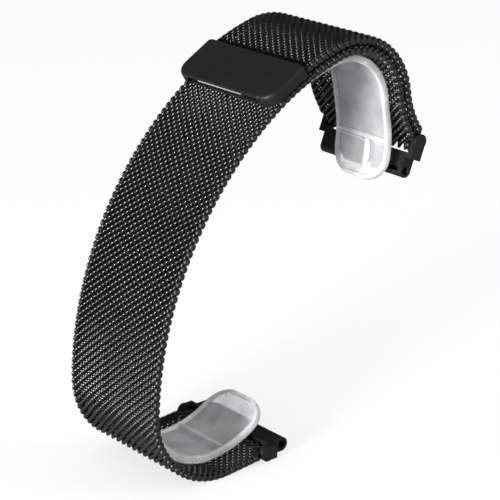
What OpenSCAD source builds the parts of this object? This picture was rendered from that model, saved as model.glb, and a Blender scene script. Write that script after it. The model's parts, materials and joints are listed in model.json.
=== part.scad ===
// Woven steel mesh watch band with a magnetic folding clasp, set up in a C
// on its lower bend, with a clear bendable cuff inside that holds it open.
// X points to the open side, Y runs across the band, Z is up.
// Band and cuff are chains of short links, because both bend anywhere.

/* [Mesh band] */
// Width of the woven mesh, over the lobes on its edges
band_w = 23; // [18:0.5:26]
// Thickness of one layer of mesh
band_t = 1.6; // [1.3:0.1:1.9]
// Distance between the rows of the weave, which show as ribs across the band
row_step = 1.24; // [1.1:0.02:1.4]
// Depth of the valleys between the rows
row_depth = 0.25; // [0.1:0.05:0.3]
// Air between the two layers where the tail lies on the band
layer_gap = 0.15; // [0.1:0.05:0.4]
// Play between a link's round nose and the next link's hollow
link_play = 0.1; // [0.05:0.05:0.2]
// Open joint between two tail links, which closes as the band straightens
tail_play = 0.65; // [0.6:0.05:0.9]

/* [Path of the band] */
// Straight mesh between the lower pin and the heel bend
foot_run = 8.2; // [6:0.1:12]
// Slope of the foot, which lifts the lower pin off the table
foot_tilt = 5; // [4:0.5:10]
// Radius of the heel bend that the band stands on
heel_r = 13.2; // [12:0.1:18]
// Angle that the heel bend turns through
heel_turn = 97; // [90:0.5:105]
// Radius of the long back
back_r = 58; // [50:0.5:70]
// Angle that the back turns through
back_turn = 50.5; // [46:0.5:56]
// Radius of the stretch that the clasp lies on
seat_r = 45; // [36:0.5:60]
// Angle that this stretch turns through
seat_turn = 22; // [19:0.5:26]
// Radius of the bend over the top
brow_r = 10.5; // [9.5:0.1:14]
// Angle of the bend over the top
brow_turn = 97.5; // [80:0.5:100]
// Radius of the outward flare above the upper bar
flare_r = 17.5; // [14:0.5:30]
// Angle of the flare
flare_turn = 21.5; // [8:0.5:24]
// Straight legs of the fold, from the flare to the upper bar
fold_run = 3.5; // [3:0.1:8]

/* [Lug ends] */
// Width of a lug block, which fits between the horns of a watch
lug_w = 20; // [16:0.5:22]
// Thickness of a lug block
lug_t = 2.4; // [2.2:0.1:3]
// Distance from a block's shoulder to the spring bar's bore
bore_reach = 3.1; // [3:0.1:5]
// Diameter of the bore for the watch's spring bar
bore_d = 1.4; // [1:0.1:1.6]
// How far each edge of the mesh steps in, between the ears of a lug block
mesh_step = 1.25; // [1:0.05:2.5]
// Thickness of an ear
ear_t = 1.05; // [0.8:0.05:1.5]
// Outer radius of an ear
ear_r = 1.3; // [1.2:0.05:1.8]
// Air between an ear and the edge of the mesh
ear_gap = 0.15; // [0.1:0.05:0.4]
// Depth of the shoulder that joins the ears to the block
shoulder_d = 0.9; // [0.6:0.1:1.2]
// Air between the mesh and the shoulder
shoulder_gap = 0.2; // [0.15:0.05:0.4]
// Diameter of the lower hinge pin, in the last row of the mesh
pin_d = 0.8; // [0.6:0.05:0.9]
// Diameter of the upper bar, which the mesh is folded round
bar_d = 1; // [0.8:0.1:1.6]
// Running clearance of pin and bar in the mesh, on the radius
pin_play = 0.05; // [0.02:0.01:0.08]
// Length of the slot for the spring bar's knob
knob_slot_l = 2.4; // [1.6:0.1:3]
// Height of the knob slot
knob_slot_h = 0.7; // [0.5:0.05:0.9]
// Wall left between the knob slot and the block's end
knob_slot_wall = 0.8; // [0.6:0.1:2]
// Angle of the upper lug block, measured from +X towards -Z
upper_lug_angle = 112; // [104:1:118]

/* [Clasp] */
// Air between the edge of the mesh and the side of the clasp
clasp_side_air = 0.35; // [0.2:0.05:0.6]
// Length of the clasp along the band
clasp_l = 8.7; // [8:0.1:11]
// Height of the clasp's face above the band
clasp_h = 2.25; // [2.2:0.05:2.8]
// Thickness of the clasp's sheet
sheet_t = 0.45; // [0.3:0.05:0.5]
// Radius of the two lower corners of the clasp
clasp_corner_r = 2; // [1:0.1:3]
// Band left free between the back and the clasp's lower edge
clasp_inset = 1.2; // [0.8:0.1:2]
// Mesh between the clasp's upper edge and its bend line
clasp_neck = 0.85; // [0.8:0.05:1.2]
// Air between the clasp and the band below it
clasp_air = 0.12; // [0.1:0.02:0.3]
// Thickness of the clasp's floor plate
floor_t = 0.2; // [0.15:0.05:0.3]
// Length of the floor plate and of the magnet chamber along the band
chamber_l = 4.6; // [4:0.1:5]
// Thickness of the bright keeper plate
keeper_t = 0.4; // [0.3:0.05:0.5]
// Length of the keeper plate, as a share of the clasp's width
keeper_share = 0.44; // [0.3:0.02:0.6]
// Distance of the keeper plate's middle from the band's middle, as such a share
keeper_off = 0.06; // [0:0.01:0.1]
// Air between the two magnets under the keeper plate
magnet_gap = 0.3; // [0.2:0.1:1]
// Depth of the bar that crimps the tail's end
crimp_d = 0.8; // [0.6:0.1:1]
// Wall left at each side of the clasp's mouth
mouth_wall = 2.2; // [2:0.1:4]

/* [Clear cuff] */
// Width of the clear cuff
cuff_w = 12.5; // [8:0.5:18]
// Distance of the cuff's middle from the band's middle
cuff_shift = -1; // [-2:0.1:2]
// Thickness of the cuff
cuff_t = 1.2; // [0.8:0.1:1.6]
// Air between the cuff and the inside of the mesh
cuff_gap = 0.3; // [0.2:0.05:0.5]
// Joint between two lengths of cuff
cuff_cut = 0.1; // [0.05:0.05:0.2]
// Radius of the cuff's lower end, which leaves the band behind the heel
cuff_toe_r = 19; // [16:1:30]
// Angle of the cuff's lower end
cuff_toe_turn = 43; // [30:1:50]
// Straight run of the cuff below the bend over the top
cuff_tip_run = 5; // [3:0.5:8]
// Radius of the cuff's upper end
cuff_tip_r = 18; // [15:1:40]
// Angle of the cuff's upper end
cuff_tip_turn = 33; // [20:1:36]
// Radius of the cuff's corners
cuff_corner_r = 4.5; // [1:0.5:5]

/* [Hidden] */
$fn = 96;

heel_links = 3;
back_links = 4;
brow_links = 3;
heel_part = heel_turn / heel_links;
back_part = back_turn / back_links;
brow_part = brow_turn / brow_links;
half_t = band_t / 2;
core_t = band_t - 2 * row_depth;
// Distance between the middles of the two layers
pitch = band_t + layer_gap;
past = 0.5;             // how far a cutting shape reaches past what it cuts
black_steel = [0.15, 0.15, 0.16];
black_mesh = [0.20, 0.20, 0.21];
bright_steel = [0.80, 0.80, 0.82];
magnet_grey = [0.42, 0.42, 0.44];
clear_plastic = [0.86, 0.88, 0.90, 0.5];

// A place on the band is [x, z, heading], on the middle of the mesh.
// The band leaves the lower pin heading to -X and turns clockwise.
function run_on(p, l) = [p[0] + l * cos(p[2]), p[1] + l * sin(p[2]), p[2]];
function turn_by(p, r, a) = let (h = p[2] - a)
    [p[0] + r * (sin(p[2]) - sin(h)), p[1] - r * (cos(p[2]) - cos(h)), h];
function outward(p, d) = [p[0] - d * sin(p[2]), p[1] + d * cos(p[2]), p[2]];
// Angle that a length takes up on a circle
function angle_of(l, r) = l / r * 180 / PI;

pin_z = half_t + foot_run * sin(foot_tilt) + heel_r * (1 - cos(foot_tilt));
toe = [0, pin_z, 180 + foot_tilt];
heel = [for (i = [0 : heel_links]) turn_by(run_on(toe, foot_run), heel_r, i * heel_part)];
back = [for (i = [0 : back_links]) turn_by(heel[heel_links], back_r, i * back_part)];
seat = back[back_links];
brow = [for (i = [0 : brow_links])
    turn_by(turn_by(seat, seat_r, seat_turn), brow_r, i * brow_part)];
flare = brow[brow_links];
fold = turn_by(flare, -flare_r, -flare_turn);
bar = outward(run_on(fold, fold_run), pitch / 2);
bar_r = bar_d / 2;
// Outer radius of the mesh where it goes round the bar
loop_r = bar_r + band_t;

// Middle of the whole width in X, from points along the outer surfaces
left_x = min([for (a = [0 : heel_turn / 48 : heel_turn]) outward(turn_by(heel[0], heel_r, a), half_t)[0],
    for (a = [0 : back_turn / 24 : back_turn]) outward(turn_by(back[0], back_r, a), half_t)[0]]);
right_x = max([bar[0] + loop_r, outward(fold, pitch + half_t)[0],
    for (a = [0 : brow_turn / 48 : brow_turn]) outward(turn_by(brow[0], brow_r, a), pitch + half_t)[0]]);
mid_x = (left_x + right_x) / 2;

// Clasp: its width, its place along the band, and the heights inside it above the band
clasp_w = band_w + 2 * (clasp_side_air + sheet_t);
keeper_w = keeper_share * clasp_w;
keeper_y = keeper_off * clasp_w;
clasp_mid = outward(turn_by(seat, seat_r, angle_of(clasp_inset + clasp_l / 2, seat_r)), half_t);
neck_turn = angle_of(clasp_inset + clasp_l + clasp_neck, seat_r);
roof_z = clasp_h - sheet_t;
floor_z = clasp_air + floor_t;
chamber_x = -clasp_l / 2 + sheet_t;
crimp_x = chamber_x + chamber_l + link_play;
tail_r = seat_r + pitch;
stub_turn = neck_turn - angle_of(clasp_inset + clasp_l / 2 + crimp_x + crimp_d + link_play, seat_r);

// Lug block: its ears stand beside the narrow end of the mesh
mesh_end_w = band_w - 2 * mesh_step;
ear_w = mesh_end_w + 2 * (ear_gap + ear_t);
// How far the narrow end of the mesh reaches past the hinge axis
ear_room = ear_r + ear_gap;
lower_shoulder = half_t + shoulder_gap;
upper_shoulder = loop_r + shoulder_gap;

// Cuff: its middle lies this far inside the middle of the mesh, from the heel's
// lowest place up and over to the end of the top bend
cuff_in = half_t + cuff_gap + cuff_t / 2;
cuff_low = outward(turn_by(heel[0], heel_r, foot_tilt), -cuff_in);
cuff_high = outward(flare, -cuff_in);

module at(p) {
    translate([p[0] - mid_x, 0, p[1]]) rotate([0, -p[2], 0]) children();
}

// A flat outline, x along the band and y outward, made w wide across the band
module across(w) {
    rotate([90, 0, 0]) linear_extrude(w, center = true) children();
}

// Part of a ring round the origin, from angle a down by turn
module ring_part(r, t, a, turn) {
    reach = 2 * (r + t);
    intersection() {
        difference() {
            circle(r + t / 2);
            circle(r - t / 2);
        }
        polygon([[0, 0], for (k = [0 : 2]) reach * [cos(a - k * turn / 2), sin(a - k * turn / 2)]]);
    }
}

// A bend that starts at the origin along x and turns clockwise
module bend(r, turn, t) {
    translate([0, -r]) ring_part(r, t, 90, turn);
}

// Number of whole rows that a length of mesh is shared out among
function rows_in(l) = round(l / row_step);

// A bend of mesh: a core with a round rib for each row, the first one at the origin
module mesh_bend(r, turn) {
    n = rows_in(r * turn * PI / 180);
    bend(r, turn, core_t);
    for (k = [0 : n - 1]) translate([0, -r]) rotate(-k * turn / n) translate([0, r]) circle(half_t);
}

// The same with its ribs held back from both ends, which stay flat
module mesh_tile(r, turn) {
    edge = angle_of(half_t + link_play, r);
    n = rows_in((turn - 2 * edge) * r * PI / 180);
    bend(r, turn, core_t);
    for (k = [0 : n]) translate([0, -r]) rotate(-edge - k * (turn - 2 * edge) / n) translate([0, r])
        circle(half_t);
}

// A straight strip of thickness t between two points
module strip(a, b, t) {
    d = b - a;
    translate(a) rotate(atan2(d[1], d[0])) translate([0, -t / 2]) square([norm(d), t]);
}

// Hollow at the end of a bend, for the round nose that the next link starts with
module hollow(r, turn) {
    translate([r * sin(turn), -r * (1 - cos(turn))]) circle(half_t + link_play);
}

module link(r, turn) {
    across(band_w) difference() {
        mesh_bend(r, turn);
        hollow(r, turn);
    }
}

module tail_link(i) {
    r = brow_r + pitch;
    trim = angle_of(tail_play / 2, r);
    at(turn_by(outward(brow[i], pitch), r, trim))
        across(band_w) mesh_tile(r, brow_part - 2 * trim);
}

// A length of cuff inside a bend of the band, less half a joint at each end
module cuff_arc(r, turn) {
    cut = angle_of(cuff_cut / 2, r - cuff_in);
    translate([0, cuff_shift, 0]) across(cuff_w) translate([0, -r])
        ring_part(r - cuff_in, cuff_t, 90 - cut, turn - 2 * cut);
}

// What is cut from the two corners of the cuff where it ends at the origin
module corners_off() {
    c = cuff_corner_r;
    for (side = [-1, 1]) translate([0, cuff_shift, -c]) linear_extrude(2 * c) difference() {
        translate([-c, side > 0 ? cuff_w / 2 - c : -cuff_w / 2 - past]) square(c + past);
        translate([-c, side * (cuff_w / 2 - c)]) circle(c);
    }
}

// Room for the two ears, cut from the mesh's edges between the places a and b along it
module ear_slots(a, b) {
    for (side = [-1, 1]) translate([a, side > 0 ? mesh_end_w / 2 : -band_w / 2 - past, -band_w / 2])
        cube([b - a, (band_w - mesh_end_w) / 2 + past, band_w]);
}

module mesh_foot() color(black_mesh) at(toe) difference() {
    foot_rows = rows_in(foot_run);
    across(band_w) difference() {
        union() {
            translate([0, -core_t / 2]) square([foot_run, core_t]);
            for (k = [0 : foot_rows - 1]) translate([k * foot_run / foot_rows, 0]) circle(half_t);
            translate([foot_run, 0]) mesh_bend(heel_r, heel_part);
        }
        circle(pin_d / 2 + pin_play);
        translate([foot_run, 0]) hollow(heel_r, heel_part);
    }
    ear_slots(-half_t - past, ear_room);
}

module mesh_heel(i) color(black_mesh) at(heel[i]) link(heel_r, heel_part);

module mesh_back(i) color(black_mesh) at(back[i]) link(back_r, back_part);

// The stretch under the clasp, with the first third of the bend over the top
module mesh_seat() color(black_mesh) {
    at(seat) across(band_w) mesh_bend(seat_r, seat_turn);
    at(brow[0]) link(brow_r, brow_part);
}

module mesh_brow(i) color(black_mesh) at(brow[i]) link(brow_r, brow_part);

// Both layers between the top bend and the bar, in one piece round the bar, smooth
module mesh_fold() color(black_mesh) {
    out_r = flare_r - pitch;
    trim = angle_of(tail_play / 2, out_r);
    leg = bar_r + half_t;
    at(flare) across(band_w) {
        circle(half_t);
        translate([0, flare_r]) ring_part(flare_r, band_t, flare_turn - 90, flare_turn);
        translate([0, flare_r]) ring_part(out_r, band_t, flare_turn - 90, flare_turn - trim);
    }
    at(fold) difference() {
        across(band_w) difference() {
            union() {
                strip([0, 0], [fold_run, pitch / 2 - leg], band_t);
                strip([0, pitch], [fold_run, pitch / 2 + leg], band_t);
                circle(half_t);
                translate([0, pitch]) circle(half_t);
                translate([fold_run, pitch / 2 - leg]) circle(half_t);
                translate([fold_run, pitch / 2 + leg]) circle(half_t);
                translate([fold_run, pitch / 2]) ring_part(leg, band_t, 90, 180);
            }
            translate([fold_run, pitch / 2]) circle(bar_r + pin_play);
        }
        ear_slots(fold_run - ear_room, fold_run + loop_r + past);
    }
}

// The tail over the first third of the top bend, with the nose it lifts on
module tail_link_1() color(black_mesh) {
    r = brow_r + pitch;
    trim = angle_of(tail_play / 2, r);
    at(outward(brow[0], pitch)) across(band_w) mesh_bend(r, brow_part - trim);
}

module tail_link_2() color(black_mesh) tail_link(1);

module tail_link_3() color(black_mesh) tail_link(2);

// The lifting part of the tail, between the clasp and the top bend
module tail_flap() color(black_mesh) {
    turn = seat_turn - neck_turn;
    at(outward(turn_by(seat, seat_r, neck_turn), pitch)) link(tail_r, turn);
}

// The end of the tail inside the clasp, hollow at the bend line
module tail_end() color(black_mesh) {
    at(outward(turn_by(seat, seat_r, neck_turn - stub_turn), pitch)) across(band_w)
        difference() {
            bend(tail_r, stub_turn, band_t);
            hollow(tail_r, stub_turn);
        }
}

module tail_crimp() color(black_steel) at(clasp_mid)
    translate([crimp_x, -band_w / 2, floor_z]) cube([crimp_d, band_w, roof_z - floor_z]);

// Outline of the clasp seen from outside, with round corners at the mouth
module clasp_outline(l, w, r) {
    translate([r - l / 2, -w / 2]) square([l - r, w]);
    translate([-l / 2, r - w / 2]) square([l, w - 2 * r]);
    for (side = [-1, 1]) translate([r - l / 2, side * (w / 2 - r)]) circle(r);
}

// Folded sheet: a face and two sides, open at the mouth and where the tail enters
module clasp_cover() color(black_steel) at(clasp_mid) difference() {
    translate([0, 0, clasp_air]) linear_extrude(clasp_h - clasp_air)
        clasp_outline(clasp_l, clasp_w, clasp_corner_r);
    translate([0, 0, clasp_air - past]) linear_extrude(roof_z - clasp_air + past) {
        clasp_outline(clasp_l - 2 * sheet_t, clasp_w - 2 * sheet_t, clasp_corner_r - sheet_t);
        translate([0, sheet_t - clasp_w / 2]) square([clasp_l, clasp_w - 2 * sheet_t]);
        translate([-clasp_l / 2 - past, mouth_wall - clasp_w / 2])
            square([clasp_l / 2, clasp_w - 2 * mouth_wall]);
    }
}

module clasp_floor() color(black_steel) at(clasp_mid)
    translate([chamber_x, sheet_t - clasp_w / 2 + clasp_corner_r, clasp_air])
        cube([chamber_l, clasp_w - 2 * sheet_t - 2 * clasp_corner_r, floor_t]);

module clasp_keeper() color(bright_steel) at(clasp_mid)
    translate([chamber_x, keeper_y - keeper_w / 2, roof_z - keeper_t])
        cube([chamber_l, keeper_w, keeper_t]);

module clasp_magnet(side) color(magnet_grey) at(clasp_mid) {
    w = (keeper_w - magnet_gap) / 2;
    y = keeper_y + side * (w + magnet_gap) / 2;
    translate([chamber_x + magnet_gap, y - w / 2, floor_z])
        cube([chamber_l - magnet_gap, w, roof_z - keeper_t - floor_z]);
}

// Lug block from its hinge axis at the origin towards +x, knob slot on the -z face
module lug_block(shoulder, axle_d) {
    bore = shoulder + bore_reach;
    difference() {
        union() {
            across(lug_w) {
                translate([shoulder, -lug_t / 2]) square([bore_reach, lug_t]);
                translate([bore, 0]) circle(lug_t / 2);
            }
            across(ear_w) translate([shoulder, -lug_t / 2]) square([shoulder_d, lug_t]);
            for (side = [-1, 1]) translate([0, side * (ear_w - ear_t) / 2, 0]) across(ear_t) {
                circle(ear_r);
                translate([0, -lug_t / 2]) square([shoulder + shoulder_d, lug_t]);
            }
        }
        across(ear_w + past) circle(axle_d / 2);
        across(lug_w + past) translate([bore, 0]) circle(bore_d / 2);
        translate([bore - knob_slot_h / 2, knob_slot_wall - lug_w / 2, -lug_t])
            cube([knob_slot_h, knob_slot_l, lug_t]);
    }
}

module lower_lug_block() color(black_steel)
    translate([toe[0] - mid_x, 0, toe[1]]) rotate([180, 0, 0]) lug_block(lower_shoulder, pin_d);

module lower_hinge_pin() color(black_steel)
    translate([toe[0] - mid_x, 0, toe[1]]) across(ear_w) circle(pin_d / 2);

module upper_lug_block() color(black_steel)
    translate([bar[0] - mid_x, 0, bar[1]]) rotate([0, upper_lug_angle, 0])
        lug_block(upper_shoulder, bar_d);

module upper_fold_bar() color(black_steel)
    translate([bar[0] - mid_x, 0, bar[1]]) across(ear_w) circle(bar_r);

// The lower end of the cuff, which leaves the band, and the first part of the heel
module cuff_foot() color(clear_plastic) difference() {
    r = heel_r - cuff_in;
    at(cuff_low) translate([0, cuff_shift, 0]) across(cuff_w) {
        translate([0, -r]) ring_part(r, cuff_t, 90, heel_part - foot_tilt - angle_of(cuff_cut / 2, r));
        translate([0, -cuff_toe_r]) ring_part(cuff_toe_r, cuff_t, 90 + cuff_toe_turn, cuff_toe_turn);
    }
    at(turn_by(cuff_low, cuff_toe_r, -cuff_toe_turn)) mirror([1, 0, 0]) corners_off();
}

module cuff_heel(i) color(clear_plastic) at(heel[i]) cuff_arc(heel_r, heel_part);

module cuff_back(i) color(clear_plastic) at(back[i]) cuff_arc(back_r, back_part);

module cuff_seat() color(clear_plastic) at(seat) cuff_arc(seat_r, seat_turn);

module cuff_brow(i) color(clear_plastic) at(brow[i]) cuff_arc(brow_r, brow_part);

// The upper end of the cuff, which leaves the band and curves inward
module cuff_tip() color(clear_plastic) difference() {
    at(cuff_high) translate([0, cuff_shift, 0]) across(cuff_w) {
        translate([cuff_cut / 2, -cuff_t / 2]) square([cuff_tip_run - cuff_cut / 2, cuff_t]);
        translate([cuff_tip_run, 0]) bend(cuff_tip_r, cuff_tip_turn, cuff_t);
    }
    at(turn_by(run_on(cuff_high, cuff_tip_run), cuff_tip_r, cuff_tip_turn)) corners_off();
}

mesh_foot();
mesh_heel(1);  // mesh_heel_1
mesh_heel(2);  // mesh_heel_2
mesh_back(0);  // mesh_back_1
mesh_back(1);  // mesh_back_2
mesh_back(2);  // mesh_back_3
mesh_back(3);  // mesh_back_4
mesh_seat();
mesh_brow(1);  // mesh_brow_1
mesh_brow(2);  // mesh_brow_2
mesh_fold();
tail_link_1();
tail_link_2();
tail_link_3();
tail_flap();
tail_end();
tail_crimp();
clasp_cover();
clasp_floor();
clasp_keeper();
clasp_magnet(-1);  // clasp_magnet_1
clasp_magnet(1);  // clasp_magnet_2
lower_lug_block();
lower_hinge_pin();
upper_lug_block();
upper_fold_bar();
cuff_foot();
cuff_heel(1);  // cuff_heel_1
cuff_heel(2);  // cuff_heel_2
cuff_back(0);  // cuff_back_1
cuff_back(1);  // cuff_back_2
cuff_back(2);  // cuff_back_3
cuff_back(3);  // cuff_back_4
cuff_seat();
cuff_brow(0);  // cuff_brow_1
cuff_brow(1);  // cuff_brow_2
cuff_brow(2);  // cuff_brow_3
cuff_tip();
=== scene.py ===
"""Looks of a black woven steel mesh watch band with a magnetic clasp and a clear cuff inside.

Everything is in metres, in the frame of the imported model. The band is one long path seen from the side:
a foot, a heel bend, a long back, a seat under the clasp, a bend over the top, a flare and a fold round a
bar, after which the same mesh comes back outside itself as the tail.
A place on the band is (s, y, n): s along the path, y across the band and n outward from the mesh's middle.
"""
import json

import bpy
import numpy as np
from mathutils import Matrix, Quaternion, Vector


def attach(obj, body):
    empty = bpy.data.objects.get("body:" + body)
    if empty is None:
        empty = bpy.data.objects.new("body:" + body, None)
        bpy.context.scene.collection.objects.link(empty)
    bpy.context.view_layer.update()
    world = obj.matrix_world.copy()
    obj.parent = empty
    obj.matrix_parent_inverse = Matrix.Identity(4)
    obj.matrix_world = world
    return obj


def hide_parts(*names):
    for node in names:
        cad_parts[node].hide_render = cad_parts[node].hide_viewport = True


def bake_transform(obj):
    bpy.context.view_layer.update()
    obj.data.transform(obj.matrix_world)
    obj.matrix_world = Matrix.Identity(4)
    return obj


MM = 0.001
TURN = 2 * np.pi
ACROSS = np.array([0, 1, 0])

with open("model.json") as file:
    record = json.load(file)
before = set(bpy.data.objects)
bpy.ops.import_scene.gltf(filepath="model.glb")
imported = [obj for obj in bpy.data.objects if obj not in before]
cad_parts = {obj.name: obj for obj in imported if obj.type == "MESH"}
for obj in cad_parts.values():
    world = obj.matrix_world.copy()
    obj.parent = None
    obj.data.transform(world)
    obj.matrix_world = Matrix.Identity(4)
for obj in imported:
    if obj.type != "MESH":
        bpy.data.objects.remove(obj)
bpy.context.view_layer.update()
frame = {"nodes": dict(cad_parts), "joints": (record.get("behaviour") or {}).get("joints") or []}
hinge_at = {j["name"]: np.array(j["pos_m"]) for j in frame["joints"]}

# Sizes of the band, the same as the CAD model's
BAND_W = 23 * MM             # over the lobes on its edges
BAND_T = 1.6 * MM
LAYER_PITCH = 1.75 * MM
FOOT_RUN = 8.2 * MM
FOOT_TILT = 5
HEEL_R, HEEL_TURN = 13.2 * MM, 97
BACK_R, BACK_TURN = 58 * MM, 50.5
SEAT_R, SEAT_TURN = 45 * MM, 22
BROW_R, BROW_TURN = 10.5 * MM, 97.5
FLARE_R, FLARE_TURN = 17.5 * MM, 21.5
FOLD_RUN = 3.5 * MM
BAR_R = 0.5 * MM

# Weave: coils of wire lie across the band, one beside the other, each through its neighbours
ROW_STEP = 0.61 * MM
COIL_PITCH = 1.465 * MM
COIL_ALONG = 0.50 * MM
COIL_OUT = 0.59 * MM
WIRE_R = 0.205 * MM
WIRE_SIDES = 6
STEPS_PER_TURN = 12
END_TURNS = 0.5            # how far a coil's end winds on against the edge of the band
# Welded lobes on the two edges, one on every second coil: half sizes along, across and outward
LOBE = np.array([0.66, 0.5, 0.62]) * MM
NOTCH = 0.4 * MM           # how far the coils stop short of the lobes' tips
EAR_END_W = 20.5 * MM      # width of the mesh between the ears of a lug block, and inside the clasp
EAR_ROOM = 1.8 * MM        # distance from a hinge axis to the last narrow coil
LOBE_SIDES, LOBE_RINGS = 12, 7
FOLD_FREE = 2.5 * MM       # how much of the fold's stretch, at each end, lies in the pieces it shares with its neighbours
NECK_FREE = 0.7 * MM       # how much of the flap's stretch lies in the piece it shares with the clasp

# Clasp on the seat: its length along the band, and its place from the seat's lower end
CLASP_INSET = 1.2 * MM
CLASP_L = 8.7 * MM
CLASP_NECK = 0.85 * MM
CRIMP_AT = 7.25 * MM       # where the tail ends, inside the clasp
CLASP_W = 23.6 * MM
CLASP_AIR, CLASP_H = 0.12 * MM, 2.25 * MM     # heights of its lower edge and its face above the band
SHEET_T = 0.45 * MM
MOUTH_R, TAIL_R = 2.7 * MM, 0.5 * MM          # corners at the mouth, and where the tail enters
SIDE_ROUND, LIP_ROUND = 0.6 * MM, 0.3 * MM    # how the face rounds over to the sides and to the open edges
MOUTH_WALL, TAIL_WALL = 2.9 * MM, 0.7 * MM    # wall left at each side of the two openings
MOUTH_RISE, TAIL_RISE = 0.9 * MM, 0.3 * MM    # length over which such a wall rises to the open edge
HEM = 0.08 * MM                               # rounding of the sheet's lower edge
CORNER_POINTS, EDGE_POINTS = 10, 42           # on a corner, and along an opening with the two corners' points
ROUND_MIDDLE = 0.3         # how far a quarter round's middle lies from its faces, as a share of its radius
# Steel keeper plate under the clasp's face, with its near edge just inside the mouth. Its brightness is
# partly steel's own pale tone and partly a painted highlight in its material
KEEPER_W, KEEPER_Y, KEEPER_T = 10.8 * MM, 0.7 * MM, 0.4 * MM
KEEPER_IN, KEEPER_L, KEEPER_R = 0.12 * MM, 4.9 * MM, 0.06 * MM

# Clear cuff inside the band: a web, with a rim round its inner face and three ribs on it
CUFF_IN = 1.55 * MM                           # from the mesh's middle in to the cuff's middle
CUFF_W = 12.5 * MM
LOW_SHIFT, HIGH_SHIFT = -1 * MM, -3.3 * MM    # how far it is off the middle at its ends, as it lies askew
CUFF_T, WEB_T = 1.2 * MM, 0.85 * MM
RIM_W, RIM_TOP = 0.6 * MM, 0.7 * MM          # the rim's height is over the cuff's middle, as a rib's is
RIB_W, RIB_TOP = 0.7 * MM, 0.55 * MM
CROSS_RIBS = np.array([10.8, 122.7]) * MM     # ribs across it, from its lower end
UPRIGHT_AT = -1.1 * MM                        # the rib along it, beyond the second one
CORNER_R, EDGE_R = 4.5 * MM, 0.25 * MM
RAMP = 0.15 * MM                              # how far a rim or rib takes to rise
FLANK = RIB_W / 2 + RAMP * np.array([0, 0.35, 0.65, 1])
TOE_R, TOE_TURN = 19 * MM, 43
TIP_RUN = 5 * MM
TIP_R, TIP_TURN = 18 * MM, 33
CUFF_STEP, SEAM_RING, CUFF_COLUMNS = 0.6 * MM, 0.06 * MM, 8
# Where its surface has points: distances in from its outline, for the edge, the rim and the rim's slope
RIM_POINTS = np.array([0, 0.03, 0.1, 0.25, 0.45, 0.57, 0.62, 0.68, 0.75]) * MM
SIDE_POINTS = np.append(RIM_POINTS, np.array([1.2, 2.2]) * MM)
END_POINTS = np.append(RIM_POINTS, np.array([1, 1.3, 1.6, 2, 2.5, 3, 3.5]) * MM)
EVEN_FROM = 4 * MM                            # past an end the rings are CUFF_STEP apart
# The RIM slot's plastic is paler and less clear than the web's: painted light for the bright thick edges
WEB, RIM, SEAM = 0, 1, 2                      # its materials, in the order of its slots


def rows(array):
    """Faces or points of a grid as one list of rows."""
    return array.reshape(-1, array.shape[-1])


class Path:
    """Side view of the band: straight runs and arcs, followed by arc length.

    Each piece is (length, curvature), with the curvature positive where the band turns clockwise. The
    heading h falls by curvature times length, and the place is the integral of (cos h, sin h).
    """

    def __init__(self, start, heading, pieces):
        self.lengths = np.array([length for length, _ in pieces])
        self.bends = np.array([bend for _, bend in pieces])
        self.starts = np.concatenate([[0], np.cumsum(self.lengths)])
        places = [np.array([start[0], start[1], np.radians(heading)])]
        for length, bend in pieces:
            places.append(self.follow(places[-1], length, bend))
        self.places = np.array(places)

    @staticmethod
    def follow(place, length, bend):
        """Where an arc of that length and curvature leads: the arc's chord is added to the place."""
        x, z, h = np.moveaxis(np.asarray(place), -1, 0)
        half = length * bend / 2
        chord = length * np.sinc(half / np.pi)
        return np.stack([x + chord * np.cos(h - half), z + chord * np.sin(h - half), h - 2 * half], -1)

    def at(self, s):
        """Places (x, z, heading) at arc lengths s. Past an end the band runs on as its end piece does."""
        s = np.asarray(s, float)
        i = np.clip(np.searchsorted(self.starts, s, side="right") - 1, 0, len(self.lengths) - 1)
        return self.follow(self.places[i], s - self.starts[i], self.bends[i])

    def axes(self, s):
        """Origin, direction along the band and outward direction at arc lengths s."""
        place = self.at(s)
        h = place[..., 2]
        zero = np.zeros_like(h)
        origin = np.stack([place[..., 0], zero, place[..., 1]], -1)
        along = np.stack([np.cos(h), zero, np.sin(h)], -1)
        outward = np.stack([-np.sin(h), zero, np.cos(h)], -1)
        return origin, along, outward

    def point(self, s, y, n):
        """Points at arc length s, y across the band and n outward."""
        origin, _, outward = self.axes(s)
        return origin + outward * np.asarray(n)[..., None] + ACROSS * np.asarray(y)[..., None]


def arc(r, turn):
    """Length and curvature of an arc of radius r through turn degrees; a negative turn bends outward."""
    return r * np.radians(abs(turn)), np.sign(turn) / r


def band_path():
    """The whole mesh, from the lower pin over the top, round the upper bar and back to the clasp.

    Before the bar the inner leg eases away, by an arc that touches the loop round the bar, and the outer
    leg eases back the same way. The tail's arcs have the band's centres, one layer further out.
    """
    loop = BAR_R + BAND_T / 2
    gap = LAYER_PITCH / 2
    ease_r = (FOLD_RUN ** 2 + gap ** 2 - loop ** 2) / (2 * (loop - gap))
    ease = np.degrees(np.arctan2(FOLD_RUN, gap + ease_r))
    base = [(FOOT_RUN, 0), arc(HEEL_R, HEEL_TURN), arc(BACK_R, BACK_TURN), arc(SEAT_R, SEAT_TURN),
            arc(BROW_R, BROW_TURN), arc(FLARE_R, -FLARE_TURN)]
    fold = [arc(ease_r, ease), arc(loop, -180 - 2 * ease), arc(ease_r, ease)]
    tail = [arc(FLARE_R - LAYER_PITCH, FLARE_TURN), arc(BROW_R + LAYER_PITCH, -BROW_TURN),
            arc(SEAT_R + LAYER_PITCH, -SEAT_TURN)]
    pin = hinge_at["lower_lug_hinge"]
    return Path((pin[0], pin[2]), 180 + FOOT_TILT, base + fold + tail)


band = band_path()
HEEL_AT, BACK_AT, SEAT_AT, BROW_AT, FLARE_AT, FOLD_AT, LOOP_AT, EASE_AT, TAIL_FLARE_AT, TAIL_BROW_AT, \
    TAIL_SEAT_AT, TAIL_END_AT = band.starts[1:]


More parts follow.
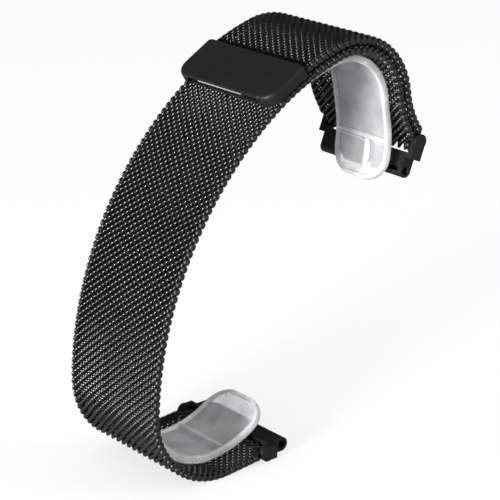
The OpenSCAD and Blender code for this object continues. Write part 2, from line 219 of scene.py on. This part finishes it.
# Stretches of mesh: each link's body with the arc length at which its stretch ends
def part(start, end, i, n):
    """The place i n-ths of the way from start to end."""
    return start + (end - start) * i / n


def tail_at(from_seat):
    """Arc length, on the tail, of a place that far along the seat from the seat's lower end."""
    return TAIL_END_AT - from_seat * (SEAT_R + LAYER_PITCH) / SEAT_R


LINKS = [
    ("foot", part(HEEL_AT, BACK_AT, 1, 3)), ("heel_1", part(HEEL_AT, BACK_AT, 2, 3)), ("heel_2", BACK_AT),
    ("back_1", part(BACK_AT, SEAT_AT, 1, 4)), ("back_2", part(BACK_AT, SEAT_AT, 2, 4)),
    ("back_3", part(BACK_AT, SEAT_AT, 3, 4)), ("back_4", SEAT_AT),
    ("seat", part(BROW_AT, FLARE_AT, 1, 3)), ("brow_1", part(BROW_AT, FLARE_AT, 2, 3)),
    ("brow_2", FLARE_AT), ("fold", TAIL_BROW_AT),
    ("brow_2", part(TAIL_BROW_AT, TAIL_SEAT_AT, 1, 3)), ("brow_1", part(TAIL_BROW_AT, TAIL_SEAT_AT, 2, 3)),
    ("seat", TAIL_SEAT_AT), ("flap", tail_at(CLASP_INSET + CLASP_L + CLASP_NECK)),
    ("clasp", tail_at(CRIMP_AT)),
]
# Stretches that don't bend: round the bar, and up to just before the clasp
FLAP_AT, NECK_AT = LINKS[-3][1], LINKS[-2][1]
STIFF = {"fold": [FLARE_AT + FOLD_FREE, TAIL_BROW_AT - FOLD_FREE],
         "flap": [(FLAP_AT + NECK_AT) / 2, NECK_AT - NECK_FREE]}


def solid(name, points, faces):
    """A mesh object at the origin from an array of points and a list of arrays of faces, as equal rows.

    Faces of four corners are shaded smooth, and the ends of tubes flat.
    """
    mesh = bpy.data.meshes.new(name)
    sizes = np.concatenate([np.full(len(f), f.shape[1]) for f in faces])
    corners = np.concatenate([f.ravel() for f in faces]).astype(np.int32)
    mesh.vertices.add(len(points))
    mesh.vertices.foreach_set("co", np.asarray(points, np.float32).ravel())
    mesh.loops.add(len(corners))
    mesh.loops.foreach_set("vertex_index", corners)
    mesh.polygons.add(len(sizes))
    mesh.polygons.foreach_set("loop_start", np.concatenate([[0], np.cumsum(sizes)[:-1]]).astype(np.int32))
    mesh.polygons.foreach_set("use_smooth", sizes == 4)
    mesh.update(calc_edges=True)
    mesh.validate()
    made = bpy.data.objects.new(name, mesh)
    bpy.context.scene.collection.objects.link(made)
    return made


def unit(v):
    """Vectors made one long."""
    return v / np.linalg.norm(v, axis=-1, keepdims=True)


def tube_faces(count, sides):
    """The two flat ends of a tube, then the quads between its count rings, all facing outward.

    The ends come first, so that where they share a corner with a quad the quad's smooth normal counts.
    """
    ring = np.arange(count - 1)[:, None] * sides
    k = np.arange(sides)[None]
    on = (k + 1) % sides
    quads = np.stack([ring + k, ring + on, ring + on + sides, ring + k + sides], -1)
    ends = np.stack([np.arange(sides)[::-1], (count - 1) * sides + np.arange(sides)])
    return ends, rows(quads)


def coil_shape(odd, width):
    """One coil of wire in its own axes (s, y, n), as rings round its middle line.

    Middle line: s = along cos t, n = out sin t, y = pitch t / turn, held back at each edge of the band,
    where the wire winds on in one plane. Every second coil lies half a pitch further across. Ring: wire
    radius times (cos k, sin k) on two axes square to the line.
    """
    reach = width / 2 - NOTCH - WIRE_R
    start = (odd / 2 - 0.25) * COIL_PITCH
    turns = 2 * (reach / COIL_PITCH + END_TURNS)
    t = (np.linspace(-turns / 2, turns / 2, int(turns * STEPS_PER_TURN) + 1) - start / COIL_PITCH) * TURN
    y = np.clip(start + COIL_PITCH * t / TURN, -reach, reach)
    line = np.stack([COIL_ALONG * np.cos(t), y, COIL_OUT * np.sin(t)], -1)
    go = unit(np.gradient(line, axis=0))
    away = np.stack([np.cos(t), 0 * t, np.sin(t)], -1)
    away = unit(away - go * (away * go).sum(-1, keepdims=True))
    side = np.cross(go, away)
    k = np.arange(WIRE_SIDES) * TURN / WIRE_SIDES
    ring = away[:, None] * np.cos(k)[:, None] + side[:, None] * np.sin(k)[:, None]
    return line[:, None] + WIRE_R * ring


def lobe_shape(side, width):
    """One welded lobe on the edge of the band, on side -1 or 1, in the coil's axes (s, y, n).

    Rings: half sizes times (sin v cos u, cos v, sin v sin u), with v from the tip to the inner end.
    """
    v = np.linspace(0, np.pi, LOBE_RINGS + 2)[1:-1, None]
    u = -side * np.arange(LOBE_SIDES) * TURN / LOBE_SIDES
    ball = np.stack([np.sin(v) * np.cos(u), side * np.cos(v) + 0 * u, np.sin(v) * np.sin(u)], -1)
    return ball * LOBE + np.array([0, side * (width / 2 - LOBE[1]), 0])


def weave(name, first, last, body, next_body=None):
    """The coils from number first up to last, set on the band, riding on one body, or left in place on none
    where they span two.
    """
    points, faces, index = [], [], []
    count = 0
    for i in range(first, last):
        origin, along, outward = band.axes(i * ROW_STEP)
        ears = min(np.linalg.norm(origin - hinge_at[name]) for name in ("lower_lug_hinge", "upper_lug_hinge"))
        narrow = ears < EAR_ROOM or i * ROW_STEP > tail_at(CLASP_INSET + CLASP_L)
        for material, shape in enumerate(SHAPES[i % 2, narrow]):
            flat = rows(shape)
            points.append(origin + flat[:, :1] * along + flat[:, 1:2] * ACROSS + flat[:, 2:] * outward)
            ends, quads = tube_faces(len(shape), shape.shape[1])
            faces += [ends + count, quads + count]
            index.append(np.full(len(ends) + len(quads), material))
            count += len(flat)
    made = solid(name, np.concatenate(points), faces)
    for material in (black_wire, black_lobe):
        made.data.materials.append(material)
    made.data.polygons.foreach_set("material_index", np.concatenate(index).astype(np.int32))
    if next_body:
        ends = band.point(np.array([first, last]) * ROW_STEP, np.zeros(2), np.zeros(2))
        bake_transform(made)
    else:
        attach(made, body)
    return made


def weave_band():
    """All stretches of mesh: from the middle of one link to the middle of the next, and the stiff ones."""
    cuts = [(0, "foot")]
    start = 0
    for body, end in LINKS:
        cuts += [(s, body) for s in STIFF.get(body, [(start + end) / 2])]
        start = end
    cuts.append((start, "clasp"))
    for i, ((first, body), (last, next_body)) in enumerate(zip(cuts, cuts[1:])):
        bodies = [body] if body == next_body else [body, next_body]
        name = f"weave_{i + 1:02d}_{'_to_'.join(bodies)}"
        weave(name, round(first / ROW_STEP), round(last / ROW_STEP), *bodies)


def cuff_path():
    """Middle of the clear cuff: its free lower end, then inside the band's bends, then its free upper end."""
    inner = [arc(r - CUFF_IN, turn) for r, turn in ((HEEL_R, HEEL_TURN - FOOT_TILT), (BACK_R, BACK_TURN),
                                                    (SEAT_R, SEAT_TURN), (BROW_R, BROW_TURN))]
    low = band.point(HEEL_AT + HEEL_R * np.radians(FOOT_TILT), 0, -CUFF_IN)
    length, bend = arc(TOE_R, TOE_TURN)
    x, z, heading = Path.follow((low[0], low[2], np.pi), -length, bend)
    return Path((x, z), np.degrees(heading), [(length, bend)] + inner + [(TIP_RUN, 0), arc(TIP_R, TIP_TURN)])


def ease(x):
    """A smooth step from 0 at x = 0 to 1 at x = 1."""
    x = np.clip(x, 0, 1)
    return x * x * (3 - 2 * x)


def cuff_rings(s):
    """Rings round the cuff, one for each arc length s, as points (s, y, n) on its path.

    Outline seen from inside: a rectangle with round corners, and depth is the distance in from it. Inner
    face: the web's height, raised to the rim's where the depth is under the rim's width, and to a rib's
    on the ribs. Both faces round off by a quarter circle where the depth is under the edge radius.
    """
    total = cuff.starts[-1]
    end = np.minimum(s, total - s)
    in_corner = np.maximum(CORNER_R - end, 0)
    half = CUFF_W / 2 - CORNER_R + np.sqrt(np.maximum(CORNER_R ** 2 - in_corner ** 2, 0))
    middle = np.linspace(-1, 1, CUFF_COLUMNS)[1:-1] * (CUFF_W / 2 - SIDE_POINTS[-1])
    upright = UPRIGHT_AT + np.concatenate([-FLANK, FLANK])
    middle = np.concatenate([middle[np.abs(middle[:, None] - upright).min(1) > RAMP], upright])
    spread = np.concatenate([SIDE_POINTS - CUFF_W / 2, middle, CUFF_W / 2 - SIDE_POINTS])
    spread = np.sort(spread) / (CUFF_W / 2)
    y = half[:, None] * spread
    s = s[:, None] + 0 * y
    past_end = CORNER_R - end[:, None]
    past_side = np.abs(y) - (CUFF_W / 2 - CORNER_R)
    out = np.hypot(np.maximum(past_end, 0), np.maximum(past_side, 0))
    depth = CORNER_R - out - np.minimum(np.maximum(past_end, past_side), 0)
    cross = np.abs(s[..., None] - CROSS_RIBS).min(-1)
    upright = np.where(s > CROSS_RIBS[1], np.abs(y - UPRIGHT_AT), CUFF_W)
    rib = 1 - ease((np.minimum(cross, upright) - RIB_W / 2) / RAMP)
    rim = 1 - ease((depth - RIM_W) / RAMP)
    web = WEB_T - CUFF_T / 2
    height = web + np.maximum(rim * (RIM_TOP - web), rib * (RIB_TOP - web))
    off = 1 - np.clip(depth / EDGE_R, 0, 1)
    rounding = EDGE_R * (1 - np.sqrt(1 - off ** 2))
    y = y + LOW_SHIFT + (HIGH_SHIFT - LOW_SHIFT) * s / total
    outer = np.stack([s, y, CUFF_T / 2 - rounding], -1)
    inner = np.stack([s, y, rounding - height], -1)
    return np.concatenate([outer[:, ::-1], inner], 1)


def cuff_stops(seams):
    """Arc lengths of the cuff's rings, close together at its ends, at the ribs across it and at the seams."""
    total = cuff.starts[-1]
    ribs = (CROSS_RIBS[:, None] + np.concatenate([-FLANK, FLANK])).ravel()
    close = np.concatenate([ribs, seams, seams - SEAM_RING, seams + SEAM_RING])
    even = np.arange(EVEN_FROM, total - EVEN_FROM, CUFF_STEP)
    even = even[np.abs(even[:, None] - close).min(1) > RAMP]
    return np.sort(np.concatenate([END_POINTS, total - END_POINTS, even, close]))


def clear_cuff():
    """The cuff, in lengths from the middle of one link to the middle of the next, out of cuff_rings.

    Where two lengths meet, their ends have the material cuff_seam, which doesn't show.
    """
    heel, back, seat, brow, flare = cuff.starts[1:6]
    first_heel = heel + (HEEL_R - CUFF_IN) * np.radians(HEEL_TURN / 3 - FOOT_TILT)
    ends = [("foot", first_heel), ("heel_1", (first_heel + back) / 2), ("heel_2", back)]
    ends += [(f"back_{i}", part(back, seat, i, 4)) for i in (1, 2, 3, 4)]
    ends += [("seat", part(brow, flare, 1, 3)), ("brow_1", part(brow, flare, 2, 3)), ("brow_2", flare)]
    starts = [heel] + [end for _, end in ends[:-1]]
    middles = [(start + end) / 2 for start, (_, end) in zip(starts, ends)]
    middles.append(2 * flare - middles[-1])
    stops = cuff_stops(np.array(middles))
    cuts = [0] + [int(np.searchsorted(stops, m)) for m in middles] + [len(stops) - 1]
    bodies = [body for body, _ in ends] + ["fold"]
    pairs = [bodies[:1]] + [bodies[i:i + 2] for i in range(len(bodies) - 1)] + [bodies[-1:]]
    rings = cuff_rings(stops)
    points = cuff.point(rings[..., 0], rings[..., 1], rings[..., 2])
    raised = rings[..., 2] < -WEB_T + CUFF_T / 2 - RAMP / 4
    raised |= np.roll(raised, -1, 1)
    for i, (pair, first, last) in enumerate(zip(pairs, cuts, cuts[1:])):
        faces = tube_faces(last - first + 1, rings.shape[1])
        made = solid(f"cuff_{i + 1:02d}_{'_to_'.join(pair)}", rows(points[first:last + 1]), faces)
        for material in (clear_web, rim_milk_and_painted_light, cuff_seam):
            made.data.materials.append(material)
        # Raised rim and ribs take the rim material, whose extra paleness is painted light
        thick = raised[first:last] & raised[first + 1:last + 1]
        caps = [SEAM if first > 0 else RIM, SEAM if last < len(stops) - 1 else RIM]
        index = np.concatenate([caps, np.where(thick, RIM, WEB).ravel()])
        made.data.polygons.foreach_set("material_index", index.astype(np.int32))
        if len(pair) == 2:
            chord = cuff.point(stops[[first, last]], np.zeros(2), np.zeros(2))
            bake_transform(made)
        else:
            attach(made, pair[0])


def clasp_outline():
    """Round rectangle of the clasp, clockwise seen from outside: arrays of side x, side y, corner radius and
    direction (cos a, sin a). A straight edge's points lie between two corners, and are spread by a sine."""
    turn = np.radians(np.linspace(90, 0, CORNER_POINTS))
    spread = np.sin(np.radians(np.linspace(90, -90, EDGE_POINTS)[1:-1]))
    parts = []
    corners = ((-1, 1, 90, MOUTH_R), (1, 1, 0, TAIL_R), (1, -1, -90, TAIL_R), (-1, -1, -180, MOUTH_R))
    for x, y, start, r in corners:
        a = np.radians(start) + turn
        parts.append(np.stack([x + 0 * a, y + 0 * a, r + 0 * a, np.cos(a), np.sin(a)]))
        if x == y:
            parts.append(np.stack([x + 0 * spread, x * spread, r + 0 * spread, x + 0 * spread, 0 * spread]))
    return np.concatenate(parts, 1)


def clasp_point(x, y, z):
    """Points x along the clasp from its middle, y across the band and z above the band's outer face."""
    origin, along, outward = band.axes(SEAT_AT + CLASP_INSET + CLASP_L / 2)
    return origin + along * x[..., None] + ACROSS * y[..., None] + outward * (z[..., None] + BAND_T / 2)


def clasp_cover():
    """Folded sheet of the clasp, as one closed shell of rings from its face over its sides into its inside.

    A ring's point: side (half size - inset - radius) + radius (cos a, sin a), with radius = corner radius
    less inset. The side's lower edge rises to the sheet's underside along the two openings.
    """
    side_x, side_y, corner, cos_a, sin_a = clasp_outline()
    at_mouth = side_x < 0
    wall = np.where(at_mouth, MOUTH_WALL, TAIL_WALL)
    rise = np.where(at_mouth, MOUTH_RISE, TAIL_RISE)
    y = side_y * (CLASP_W / 2 - corner)
    opened = np.where(sin_a == 0, ease((CLASP_W / 2 - wall - np.abs(y)) / rise + 0.5), 0)
    lip = CLASP_H - SHEET_T
    low = CLASP_AIR + (lip - CLASP_AIR) * opened
    round_r = SIDE_ROUND + (LIP_ROUND - SIDE_ROUND) * opened
    hem = HEM * (1 - opened)
    t = np.radians(np.linspace(0, 90, 7))[:, None]
    levels = [(round_r * (1 - np.sin(t)), CLASP_H - round_r * (1 - np.cos(t)))]
    levels += [(0 * hem, low + hem), (ROUND_MIDDLE * hem, low + ROUND_MIDDLE * hem), (hem, low),
               (SHEET_T - hem, low), (SHEET_T + 0 * hem, low + hem), (SHEET_T + 0 * hem, lip + 0 * hem),
               (2 * SHEET_T + 0 * hem, lip + 0 * hem)]
    inset = np.concatenate([np.atleast_2d(a) for a, _ in levels])
    z = np.concatenate([np.atleast_2d(b) for _, b in levels])
    radius = np.maximum(corner - inset, HEM / 4)
    x = side_x * (CLASP_L / 2 - inset - radius) + radius * cos_a
    y = side_y * (CLASP_W / 2 - inset - radius) + radius * sin_a
    made = solid("clasp_folded_sheet", rows(clasp_point(x, y, z)), tube_faces(len(z), len(side_x)))
    made.data.materials.append(black_satin)
    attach(made, "clasp")
    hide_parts("clasp_cover")


def keeper_plate():
    """Flat plate as rings from its upper face over its edge to its lower face, on the clasp's outline.

    A ring's point: side (half size - inset - radius) + radius (cos a, sin a), with one small radius.
    """
    side_x, side_y, _, cos_a, sin_a = clasp_outline()
    inset = KEEPER_R * np.array([1, ROUND_MIDDLE, 0, 0, ROUND_MIDDLE, 1])[:, None]
    drop = np.array([0, ROUND_MIDDLE, 1])[:, None] * KEEPER_R
    z = CLASP_H - SHEET_T - np.concatenate([drop, KEEPER_T - drop[::-1]]) + 0 * side_x
    radius = 2 * KEEPER_R - inset
    x = KEEPER_IN + (KEEPER_L - CLASP_L) / 2 + side_x * (KEEPER_L / 2 - inset - radius) + radius * cos_a
    y = KEEPER_Y + side_y * (KEEPER_W / 2 - inset - radius) + radius * sin_a
    made = solid("keeper_plate", rows(clasp_point(x, y, z)), tube_faces(len(z), len(side_x)))
    made.data.materials.append(keeper_steel_painted_glint)
    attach(made, "clasp")
    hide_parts("clasp_keeper")


WELD = 0.005 * MM           # points nearer than this are one


def soften_edges(node, width):
    """A CAD node's mesh is loose triangles: joins them, makes its flat faces whole and rounds its edges."""
    weld = node.modifiers.new("weld", "WELD")
    weld.merge_threshold = WELD
    flat = node.modifiers.new("flat", "DECIMATE")
    flat.decimate_type = "DISSOLVE"
    flat.angle_limit = np.radians(1)
    bevel = node.modifiers.new("edges", "BEVEL")
    bevel.width = width
    bevel.segments = 2
    bevel.limit_method = "ANGLE"
    bevel.angle_limit = np.radians(40)


# Materials
def principled(name, **sockets):
    """A material with one Principled BSDF, whose sockets are set by their names with spaces as underlines."""
    made = bpy.data.materials.new(name)
    made.use_nodes = True
    shader = made.node_tree.nodes["Principled BSDF"]
    for key, value in sockets.items():
        shader.inputs[key.replace("_", " ")].default_value = value
    return made, made.node_tree, shader


def add_socket(group, way, name, kind, value=None):
    """A socket on the way "INPUT" or "OUTPUT" of a shader group, with its value if it has one."""
    made = group.interface.new_socket(name, in_out=way, socket_type=kind)
    if value is not None:
        made.default_value = value


def finish_group():
    """Shader group of a metal's finish: fine grain as a bump, and soft patches in colour and roughness.

    Patches: a noise of Patch scale, stretched between 0 and 1, mixes Base with Rubbed and Smooth with Rough.
    Grain: a noise of Grain scale, drawn out along Y by Stretch, pushed out by Grain depth metres.
    """
    group = bpy.data.node_groups.new("metal_finish", "ShaderNodeTree")
    for name, level in (("Base", 0.01), ("Rubbed", 0.02)):
        add_socket(group, "INPUT", name, "NodeSocketColor", (level, level, level, 1))
    for name, value in (("Smooth", 0.3), ("Rough", 0.5), ("Patch scale", 200), ("Grain scale", 6000),
                        ("Stretch", 1), ("Grain depth", 0.002 * MM)):
        add_socket(group, "INPUT", name, "NodeSocketFloat", value)
    for name, kind in (("Color", "Color"), ("Roughness", "Float"), ("Normal", "Vector")):
        add_socket(group, "OUTPUT", name, "NodeSocket" + kind)
    nodes, links = group.nodes, group.links
    given, out = nodes.new("NodeGroupInput"), nodes.new("NodeGroupOutput")
    place = nodes.new("ShaderNodeTexCoord")
    patches = nodes.new("ShaderNodeTexNoise")
    links.new(place.outputs["Object"], patches.inputs["Vector"])
    links.new(given.outputs["Patch scale"], patches.inputs["Scale"])
    spread = nodes.new("ShaderNodeMapRange")
    spread.inputs["From Min"].default_value, spread.inputs["From Max"].default_value = 0.35, 0.65
    links.new(patches.outputs["Fac"], spread.inputs["Value"])
    colour = nodes.new("ShaderNodeMix")
    colour.data_type = "RGBA"
    links.new(spread.outputs["Result"], colour.inputs["Factor"])
    links.new(given.outputs["Base"], colour.inputs["A"])
    links.new(given.outputs["Rubbed"], colour.inputs["B"])
    links.new(colour.outputs["Result"], out.inputs["Color"])
    gloss = nodes.new("ShaderNodeMapRange")
    links.new(spread.outputs["Result"], gloss.inputs["Value"])
    links.new(given.outputs["Rough"], gloss.inputs["To Min"])
    links.new(given.outputs["Smooth"], gloss.inputs["To Max"])
    links.new(gloss.outputs["Result"], out.inputs["Roughness"])
    squeeze = nodes.new("ShaderNodeCombineXYZ")
    squeeze.inputs["X"].default_value = squeeze.inputs["Z"].default_value = 1
    links.new(given.outputs["Stretch"], squeeze.inputs["Y"])
    drawn = nodes.new("ShaderNodeVectorMath")
    drawn.operation = "DIVIDE"
    links.new(place.outputs["Object"], drawn.inputs[0])
    links.new(squeeze.outputs[0], drawn.inputs[1])
    grain = nodes.new("ShaderNodeTexNoise")
    links.new(drawn.outputs[0], grain.inputs["Vector"])
    links.new(given.outputs["Grain scale"], grain.inputs["Scale"])
    bump = nodes.new("ShaderNodeBump")
    links.new(grain.outputs["Fac"], bump.inputs["Height"])
    links.new(given.outputs["Grain depth"], bump.inputs["Distance"])
    links.new(bump.outputs["Normal"], out.inputs["Normal"])
    return group


def metal(name, finish, **sockets):
    """A Principled metal with the finish group in front of it. finish gives the group's own values."""
    made, tree, shader = principled(name, **sockets)
    group = tree.nodes.new("ShaderNodeGroup")
    group.node_tree = metal_finish
    for key, value in finish.items():
        group.inputs[key].default_value = value
    tree.links.new(group.outputs["Color"], shader.inputs["Base Color"])
    tree.links.new(group.outputs["Roughness"], shader.inputs["Roughness"])
    tree.links.new(group.outputs["Normal"], shader.inputs["Normal"])
    return made


def grey(level):
    """A grey of that level with a little more blue."""
    return (level, level, level * 1.02, 1)


CLOUD_SCALE = 260          # of the plastic's noise, per metre
CLOUD_DARK = 0.74          # its darkest clouds, as a share of its palest
WAVE_DEPTH = 0.03 * MM


def plastic(name, clear, milk, smooth, rough):
    """Clear plastic with soft clouds, and slight waves in its faces.

    clear is the share of light let through, milk how pale it is, and its roughness goes from smooth to
    rough. Cloud: a noise of CLOUD_SCALE, stretched between 0 and 1, mixes CLOUD_DARK x milk with milk.
    """
    made, tree, shader = principled(name, IOR=1.45, Transmission_Weight=clear)
    place = tree.nodes.new("ShaderNodeTexCoord")
    waves = tree.nodes.new("ShaderNodeTexNoise")
    waves.inputs["Scale"].default_value = CLOUD_SCALE
    waves.inputs["Detail"].default_value = 3
    tree.links.new(place.outputs["Object"], waves.inputs["Vector"])
    gloss = tree.nodes.new("ShaderNodeMapRange")
    gloss.inputs["To Min"].default_value, gloss.inputs["To Max"].default_value = smooth, rough
    tree.links.new(waves.outputs["Fac"], gloss.inputs["Value"])
    tree.links.new(gloss.outputs["Result"], shader.inputs["Roughness"])
    cloud = tree.nodes.new("ShaderNodeMix")
    cloud.data_type = "RGBA"
    cloud.inputs["A"].default_value = grey(CLOUD_DARK * milk)
    cloud.inputs["B"].default_value = grey(milk)
    cloud_spread = tree.nodes.new("ShaderNodeMapRange")
    cloud_spread.inputs["From Min"].default_value, cloud_spread.inputs["From Max"].default_value = 0.35, 0.6
    tree.links.new(waves.outputs["Fac"], cloud_spread.inputs["Value"])
    tree.links.new(cloud_spread.outputs["Result"], cloud.inputs["Factor"])
    tree.links.new(cloud.outputs["Result"], shader.inputs["Base Color"])
    bump = tree.nodes.new("ShaderNodeBump")
    bump.inputs["Distance"].default_value = WAVE_DEPTH
    tree.links.new(waves.outputs["Fac"], bump.inputs["Height"])
    tree.links.new(bump.outputs["Normal"], shader.inputs["Normal"])
    return made


metal_finish = finish_group()
black_wire = metal("black_wire", {
    "Base": grey(0.0015), "Rubbed": grey(0.003), "Smooth": 0.27, "Rough": 0.36,
    "Patch scale": 400, "Grain scale": 6000, "Grain depth": 0.0001 * MM}, IOR=1.85)
black_lobe = metal("black_lobe", {
    "Base": grey(0.003), "Rubbed": grey(0.006), "Smooth": 0.4, "Rough": 0.55,
    "Patch scale": 400, "Grain scale": 6000, "Grain depth": 0.0005 * MM}, IOR=1.6)
black_satin = metal("black_satin", {
    "Base": grey(0.0085), "Rubbed": grey(0.011), "Smooth": 0.45, "Rough": 0.55,
    "Patch scale": 150, "Grain scale": 7000, "Grain depth": 0.002 * MM}, IOR=1.36)
# Keeper steel: a pale base made partly diffuse (Metallic 0.4), so its edge shows a painted highlight as well
# as steel's own pale tone
keeper_steel_painted_glint = metal("bright_steel", {
    "Base": grey(0.75), "Rubbed": grey(0.9), "Smooth": 0.3, "Rough": 0.45,
    "Patch scale": 300, "Grain scale": 9000, "Stretch": 12, "Grain depth": 0.001 * MM}, Metallic=0.4)
magnet = metal("magnet", {
    "Base": grey(0.16), "Rubbed": grey(0.3), "Smooth": 0.35, "Rough": 0.5,
    "Patch scale": 400, "Grain scale": 5000, "Grain depth": 0.002 * MM}, Metallic=1)
clear_web = plastic("clear_web", 0.68, 0.98, 0.05, 0.2)
# Rim and ribs: the web's plastic made paler and less clear, painted light standing in for the brightness that
# refraction gives their thick edges
rim_milk_and_painted_light = plastic("rim_milk_and_painted_light", 0.3, 0.85, 0.15, 0.35)
cuff_seam, _, _ = principled("cuff_seam", Alpha=0)

# Coil and lobe of each kind: whether it is an odd one, and whether it lies in a narrow end
SHAPES = {(odd, narrow): (coil_shape(odd, width), lobe_shape(2 * odd - 1, width))
          for odd in (0, 1) for narrow, width in ((False, BAND_W), (True, EAR_END_W))}

# The pieces. One of the weave's and one of the cuff's stand in for all the nodes of each
weave_band()
woven = [n for n in frame["nodes"] if n.startswith(("mesh_", "tail_")) and n != "tail_crimp"]
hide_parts(*woven)
cuff = cuff_path()
clear_cuff()
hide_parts(*[n for n in frame["nodes"] if n.startswith("cuff_")])
clasp_cover()
keeper_plate()

# CAD nodes that show as they are: their material, and how far their edges round off in millimetres
kept = {"clasp_magnet_1": (magnet, 0.1), "clasp_magnet_2": (magnet, 0.1),
        "clasp_floor": (black_satin, 0.03), "tail_crimp": (black_satin, 0.05),
        "lower_lug_block": (black_satin, 0.1), "upper_lug_block": (black_satin, 0.1),
        "lower_hinge_pin": (black_satin, 0.03), "upper_fold_bar": (black_satin, 0.03)}
for name, (material, edge) in kept.items():
    node = frame["nodes"][name]
    node.data.materials.clear()
    node.data.materials.append(material)
    soften_edges(node, edge * MM)

# Camera, as fitted to the photo
EYE = Vector((-0.18989, -0.22783, 0.14031))
LOOK = Vector((0.60123, 0.72268, -0.34095))
ROLL = np.radians(0.18)
LENS_MM, SENSOR_MM = 137.4, 36
camera = bpy.data.objects.new("camera", bpy.data.cameras.new("camera"))
camera.data.lens, camera.data.sensor_width = LENS_MM, SENSOR_MM
camera.data.clip_start = 0.01
camera.rotation_mode = "QUATERNION"
camera.rotation_quaternion = Quaternion(LOOK, ROLL) @ LOOK.to_track_quat("-Z", "Y")
camera.location = EYE
bpy.context.scene.collection.objects.link(camera)
bpy.context.scene.camera = camera
bpy.context.scene.view_settings.view_transform = "Standard"

# Floor, background and studio light
FLOOR = 6.0                # half the floor's side, in metres
FLOOR_GLOW, FLOOR_GREY = 0.67, 0.37    # the floor's own light where the camera sees it, and its paint
WORLD_LIGHT = 0.65         # strength of the light from all round, but not in reflections
MIRRORED = 0.04            # how much of the background shows in reflections
AIM = Vector((0, 0, 0.035))            # where the lamps point, in the middle of the C


def background_ray(nodes, links):
    """How much of the plain background a ray sees: all of it from the camera and through clear plastic, and
    the share MIRRORED in reflections. Other rays see none."""
    path = nodes.new("ShaderNodeLightPath")
    share = nodes.new("ShaderNodeMath")
    share.operation = "MULTIPLY"
    share.inputs[1].default_value = MIRRORED
    links.new(path.outputs["Is Glossy Ray"], share.inputs[0])
    total = share.outputs[0]
    for name in ("Is Camera Ray", "Is Transmission Ray"):
        either = nodes.new("ShaderNodeMath")
        either.operation = "MAXIMUM"
        links.new(total, either.inputs[0])
        links.new(path.outputs[name], either.inputs[1])
        total = either.outputs[0]
    return total


def pale_floor():
    """A floor that shows white with a light shadow, and gives the object little light from below."""
    made = bpy.data.materials.new("pale_floor")
    made.use_nodes = True
    nodes, links = made.node_tree.nodes, made.node_tree.links
    nodes.clear()
    seen = background_ray(nodes, links)
    share = nodes.new("ShaderNodeMath")
    share.operation = "MULTIPLY"
    share.inputs[1].default_value = FLOOR_GLOW
    links.new(seen, share.inputs[0])
    paint = nodes.new("ShaderNodeBsdfDiffuse")
    paint.inputs["Color"].default_value = grey(FLOOR_GREY)
    glow = nodes.new("ShaderNodeEmission")
    links.new(share.outputs[0], glow.inputs["Strength"])
    both = nodes.new("ShaderNodeAddShader")
    links.new(paint.outputs[0], both.inputs[0])
    links.new(glow.outputs[0], both.inputs[1])
    out = nodes.new("ShaderNodeOutputMaterial")
    links.new(both.outputs[0], out.inputs["Surface"])
    return made


corners = FLOOR * np.array([[-1, -1, 0], [1, -1, 0], [1, 1, 0], [-1, 1, 0]])
floor = solid("floor", corners, [np.array([[0, 1, 2, 3]])])
floor.data.materials.append(pale_floor())


def studio_world():
    """White where the camera sees it, with an even light on the object: strength 1 for rays that see the
    background, MIRRORED for other glossy rays and WORLD_LIGHT for the rest."""
    world = bpy.data.worlds.new("studio")
    bpy.context.scene.world = world
    world.use_nodes = True
    nodes, links = world.node_tree.nodes, world.node_tree.links
    path = nodes.new("ShaderNodeLightPath")
    light = nodes.new("ShaderNodeMapRange")
    light.inputs["To Min"].default_value, light.inputs["To Max"].default_value = WORLD_LIGHT, MIRRORED
    links.new(path.outputs["Is Glossy Ray"], light.inputs["Value"])
    level = nodes.new("ShaderNodeMapRange")
    links.new(light.outputs["Result"], level.inputs["To Min"])
    links.new(background_ray(nodes, links), level.inputs["Value"])
    links.new(level.outputs["Result"], nodes["Background"].inputs["Strength"])
    nodes["Background"].inputs["Color"].default_value = (1, 1, 1, 1)


def softbox(name, place, size, watts):
    """A round lamp of that diameter in metres, which points at AIM."""
    lamp = bpy.data.lights.new(name, "AREA")
    lamp.shape, lamp.size, lamp.energy = "DISK", size, watts
    made = bpy.data.objects.new(name, lamp)
    made.location = place
    made.rotation_mode = "QUATERNION"
    made.rotation_quaternion = (AIM - Vector(place)).to_track_quat("-Z", "Y")
    bpy.context.scene.collection.objects.link(made)


studio_world()
softbox("key", (-0.64, -0.16, 0.08), 0.16, 8.5)
softbox("side", (0.35, -0.5, 0.3), 0.3, 1.2)
